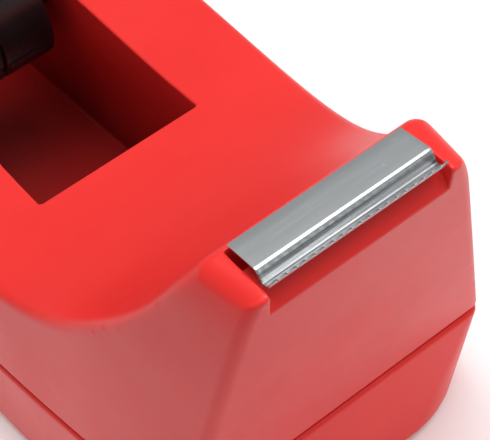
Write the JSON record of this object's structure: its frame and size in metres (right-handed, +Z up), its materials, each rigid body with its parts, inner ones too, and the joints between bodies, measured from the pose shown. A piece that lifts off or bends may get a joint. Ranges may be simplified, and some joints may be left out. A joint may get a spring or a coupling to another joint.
{
  "type": "tape dispenser",
  "caption": "Weighted desk tape dispenser: saddle-shaped two-part plastic body, serrated metal blade on the nose and a lift-out hub in an open well.",
  "frame": {"origin": "centre of the bounding box at the level the feet stand on", "axes": "+X towards the blade, +Z up, +Y to the right of someone facing the blade end, which is what left and right mean in the piece names; the body is symmetric about the XZ plane"},
  "size_m": [0.1502, 0.0636, 0.066],
  "materials": {
    "shell_red": "satin moulded plastic, fine spark-eroded texture",
    "pan_red": "satin moulded plastic, fine spark-eroded texture",
    "blade_steel": "bright rolled sheet, lightly brushed along the blade",
    "hub_black": "glossy black moulded plastic",
    "axle_steel": "ground steel rod",
    "ballast_iron": "rough sand-cast iron",
    "foot_rubber": "soft matte rubber",
    "screw_steel": "zinc-plated steel"
  },
  "bodies": {
    "root": {"upper_shell": "shell_red", "base_pan": "pan_red", "cutting_blade": "blade_steel", "front_ballast": "ballast_iron", "left_ballast": "ballast_iron", "right_ballast": "ballast_iron", "front_left_foot": "foot_rubber", "front_right_foot": "foot_rubber", "rear_left_foot": "foot_rubber", "rear_right_foot": "foot_rubber", "front_left_screw": "screw_steel", "front_right_screw": "screw_steel", "rear_left_screw": "screw_steel", "rear_right_screw": "screw_steel"},
    "axle": {"hub_axle": "axle_steel"},
    "hub": {"hub_left_half": "hub_black", "hub_right_half": "hub_black"}
  },
  "joints": [
    {"name": "hub_lift", "type": "slide", "parent": "root", "child": "axle", "axis": [0, 0, 1], "range_m": [0, 0.05]},
    {"name": "hub_spin", "type": "hinge", "parent": "axle", "child": "hub", "pos_m": [-0.0336, 0, 0.039], "axis": [0, 1, 0], "continuous": true}
  ]
}
